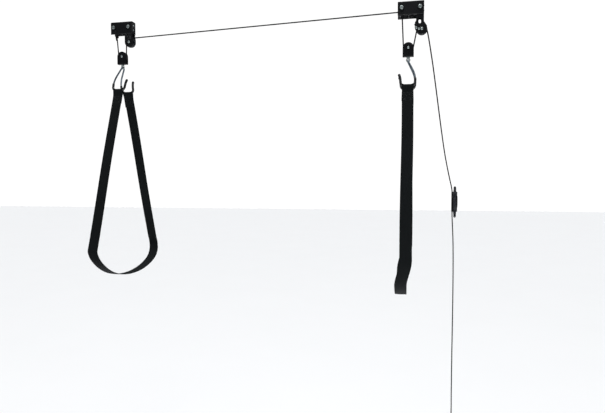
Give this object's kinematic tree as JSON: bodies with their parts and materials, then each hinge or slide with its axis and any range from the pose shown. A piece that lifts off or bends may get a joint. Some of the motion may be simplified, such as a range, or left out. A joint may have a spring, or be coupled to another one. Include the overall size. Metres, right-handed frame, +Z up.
{
  "type": "kayak ceiling hoist",
  "caption": "Two-point ceiling hoist: joist brackets with rope wheels, hook blocks, webbing slings for a hull, one long rope and a wall cleat.",
  "frame": {"origin": "centre of the right bracket's flat back face, where it bolts to the joist", "axes": "+X from the left hoist to the right one, +Y into the joist and the wall, +Z up"},
  "size_m": [1.76, 0.7672, 2.2299],
  "materials": {
    "black_steel": "satin black powder coat on folded sheet",
    "zinc_steel": "bright zinc plating, slightly dull",
    "hook_wire": "blue-grey zinc plated wire",
    "vinyl": "dipped black vinyl, glossy",
    "nylon": "moulded black nylon, smooth",
    "webbing": "woven black polypropylene webbing",
    "rope": "braided black polyester rope"
  },
  "bodies": {
    "root": {"bracket_left": "black_steel", "bracket_right": "black_steel", "carrier_left": "black_steel", "carrier_right": "black_steel", "guide_pin": "black_steel", "anchor_pin": "black_steel", "lag_bolt_left_inner": "zinc_steel", "lag_bolt_left_outer": "zinc_steel", "lag_bolt_right_inner": "zinc_steel", "lag_bolt_right_outer": "zinc_steel", "wheel_axle_left": "zinc_steel", "wheel_axle_right": "zinc_steel", "lock_cam_pin": "zinc_steel", "cleat_screw_lower": "zinc_steel", "cleat_screw_upper": "zinc_steel", "cleat": "nylon", "coil_tie": "webbing", "anchor_knot": "rope", "fall_left_anchor": "rope", "fall_left_wheel": "rope", "fall_right_guide": "rope", "fall_right_wheel": "rope", "cross_rope": "rope", "lead_rope": "rope", "cleat_wraps": "rope", "rope_tail": "rope", "rope_coil": "rope"},
    "wheel_left": {"wheel_left": "nylon"},
    "wheel_right": {"wheel_right": "nylon"},
    "guide_roller": {"guide_roller": "nylon"},
    "lock_cam": {"lock_cam": "zinc_steel"},
    "block_left": {"block_left": "black_steel", "sheave_axle_left": "zinc_steel", "bight_left": "rope"},
    "sheave_left": {"sheave_left": "nylon"},
    "swivel_left": {"swivel_left": "zinc_steel"},
    "hook_left": {"hook_left": "hook_wire", "hook_sleeve_left_front": "vinyl", "hook_sleeve_left_back": "vinyl", "sling_left": "webbing"},
    "block_right": {"block_right": "black_steel", "sheave_axle_right": "zinc_steel", "bight_right": "rope"},
    "sheave_right": {"sheave_right": "nylon"},
    "swivel_right": {"swivel_right": "zinc_steel"},
    "hook_right": {"hook_right": "hook_wire", "hook_sleeve_right_front": "vinyl", "hook_sleeve_right_back": "vinyl", "sling_right": "webbing"}
  },
  "joints": [
    {"name": "lift_left", "type": "slide", "parent": "root", "child": "block_left", "axis": [0, 0, 1], "range_m": [-1, 0.015], "deforming": ["fall_left_anchor", "fall_left_wheel"]},
    {"name": "lift_right", "type": "slide", "parent": "root", "child": "block_right", "axis": [0, 0, 1], "range_m": [-1, 0.015], "deforming": ["fall_right_guide", "fall_right_wheel"]},
    {"name": "wheel_left_spin", "type": "hinge", "parent": "root", "child": "wheel_left", "pos_m": [-1.368, -0.018, -0.07], "axis": [0, 1, 0], "range_deg": [-5470, 90]},
    {"name": "guide_roller_spin", "type": "hinge", "parent": "root", "child": "guide_roller", "pos_m": [-0.047, -0.018, -0.02], "axis": [0, 1, 0], "range_deg": [-12750, 195]},
    {"name": "wheel_right_spin", "type": "hinge", "parent": "root", "child": "wheel_right", "pos_m": [0.048, -0.018, -0.0925], "axis": [0, 1, 0], "range_deg": [-10930, 172]},
    {"name": "sheave_left_spin", "type": "hinge", "parent": "block_left", "child": "sheave_left", "pos_m": [-1.411, -0.018, -0.138], "axis": [0, 1, 0], "range_deg": [-45, 2735]},
    {"name": "sheave_right_spin", "type": "hinge", "parent": "block_right", "child": "sheave_right", "pos_m": [-0.01, -0.018, -0.171], "axis": [0, 1, 0], "range_deg": [-130, 8195]},
    {"name": "swivel_left_turn", "type": "hinge", "parent": "block_left", "child": "swivel_left", "pos_m": [-1.411, -0.018, -0.1905], "axis": [0, 0, 1], "continuous": true},
    {"name": "hook_left_rock", "type": "hinge", "parent": "swivel_left", "child": "hook_left", "pos_m": [-1.411, -0.018, -0.1905], "axis": [0, 1, 0], "range_deg": [-20, 20]},
    {"name": "swivel_right_turn", "type": "hinge", "parent": "block_right", "child": "swivel_right", "pos_m": [-0.01, -0.018, -0.2235], "axis": [0, 0, 1], "continuous": true},
    {"name": "hook_right_rock", "type": "hinge", "parent": "swivel_right", "child": "hook_right", "pos_m": [-0.01, -0.018, -0.2235], "axis": [0, 1, 0], "range_deg": [-20, 20]},
    {"name": "lock_cam_release", "type": "hinge", "parent": "root", "child": "lock_cam", "pos_m": [0.0228, -0.018, -0.0724], "axis": [0, -1, 0], "range_deg": [0, 40], "stiffness_Nm_per_rad": 0.01, "springref_deg": -20.05}
  ],
  "couplings": [
    {"joint": "lift_right", "follows": "lift_left", "ratio": 1},
    {"joint": "wheel_left_spin", "follows": "lift_left", "rad_per_m": 95.238},
    {"joint": "guide_roller_spin", "follows": "lift_left", "rad_per_m": 222.22},
    {"joint": "wheel_right_spin", "follows": "lift_left", "rad_per_m": 190.48},
    {"joint": "sheave_left_spin", "follows": "lift_left", "rad_per_m": -47.619},
    {"joint": "sheave_right_spin", "follows": "lift_left", "rad_per_m": -142.86}
  ]
}
